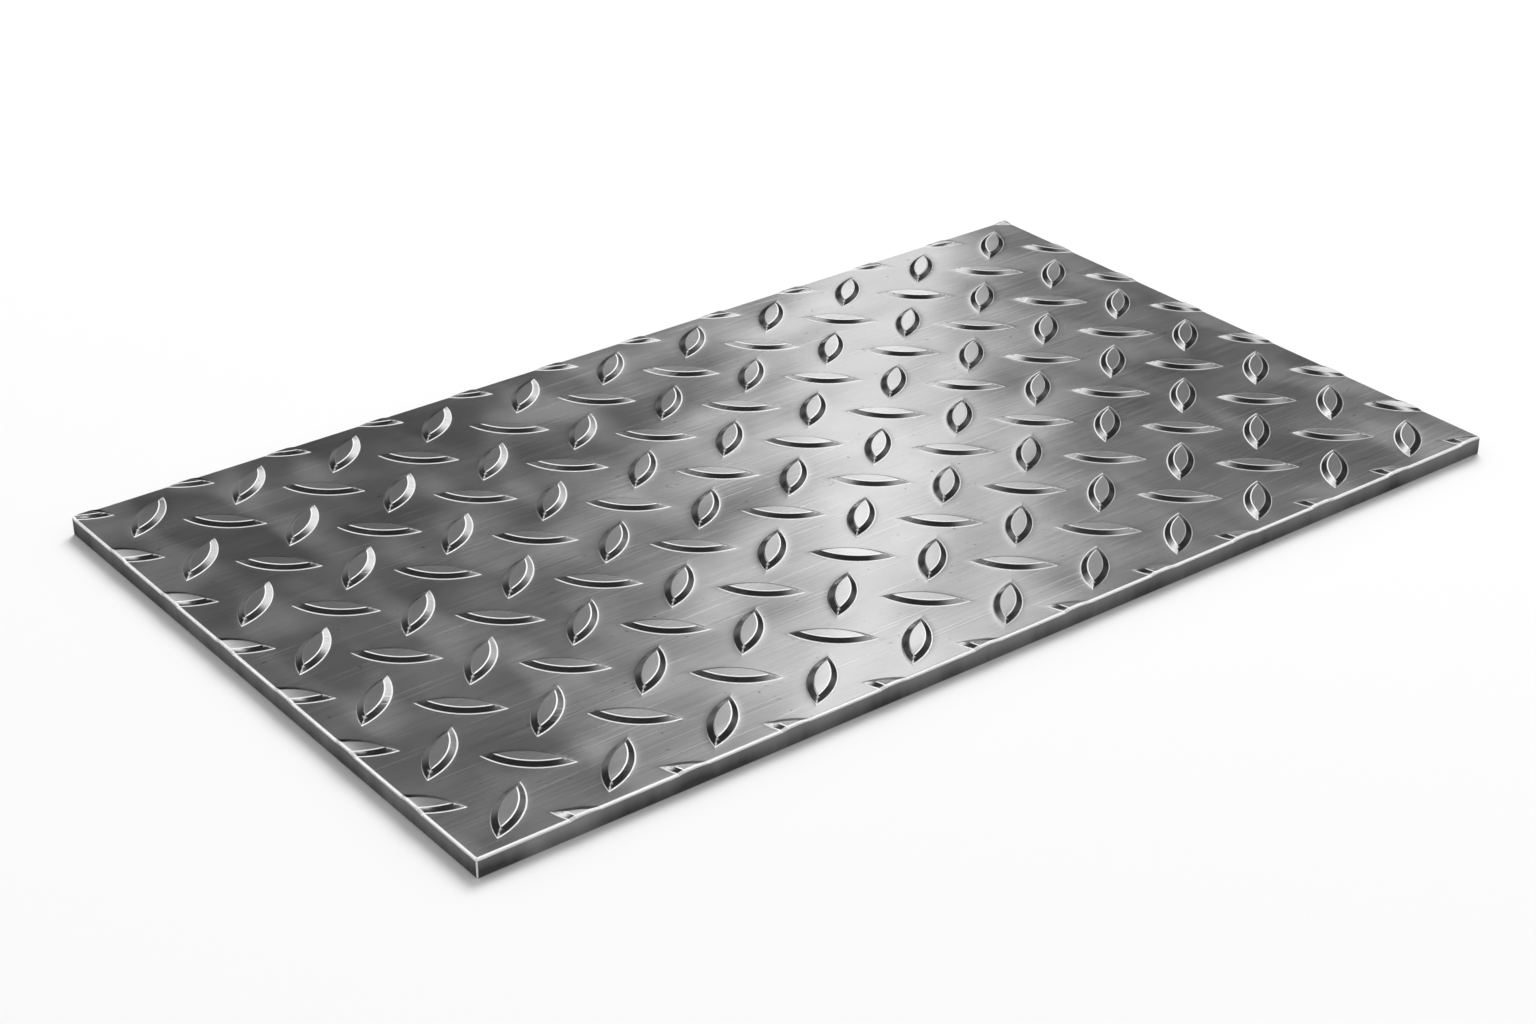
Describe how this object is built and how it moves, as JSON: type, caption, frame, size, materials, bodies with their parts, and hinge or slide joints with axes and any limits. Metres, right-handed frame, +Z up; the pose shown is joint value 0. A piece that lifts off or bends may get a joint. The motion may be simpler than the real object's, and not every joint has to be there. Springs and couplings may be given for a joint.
{
  "type": "checker steel plate",
  "caption": "Flat rectangular steel plate with raised lens-shaped lugs in a crossed diagonal pattern on its upper face and plain cut edges.",
  "frame": {"origin": "middle of the underside, on the plane that the plate lies on", "axes": "+X along the plate's length, +Y across its width, +Z up out of the lugged face"},
  "size_m": [0.5, 0.3, 0.0094],
  "materials": {
    "rolled_steel": "plain hot-rolled and cleaned steel, satin, with faint lengthways rolling marks and soft cloudy sheen; sheared side faces darker; edges and lug rims worn bright"
  },
  "bodies": {
    "root": {"checker_plate": "rolled_steel"}
  },
  "joints": []
}
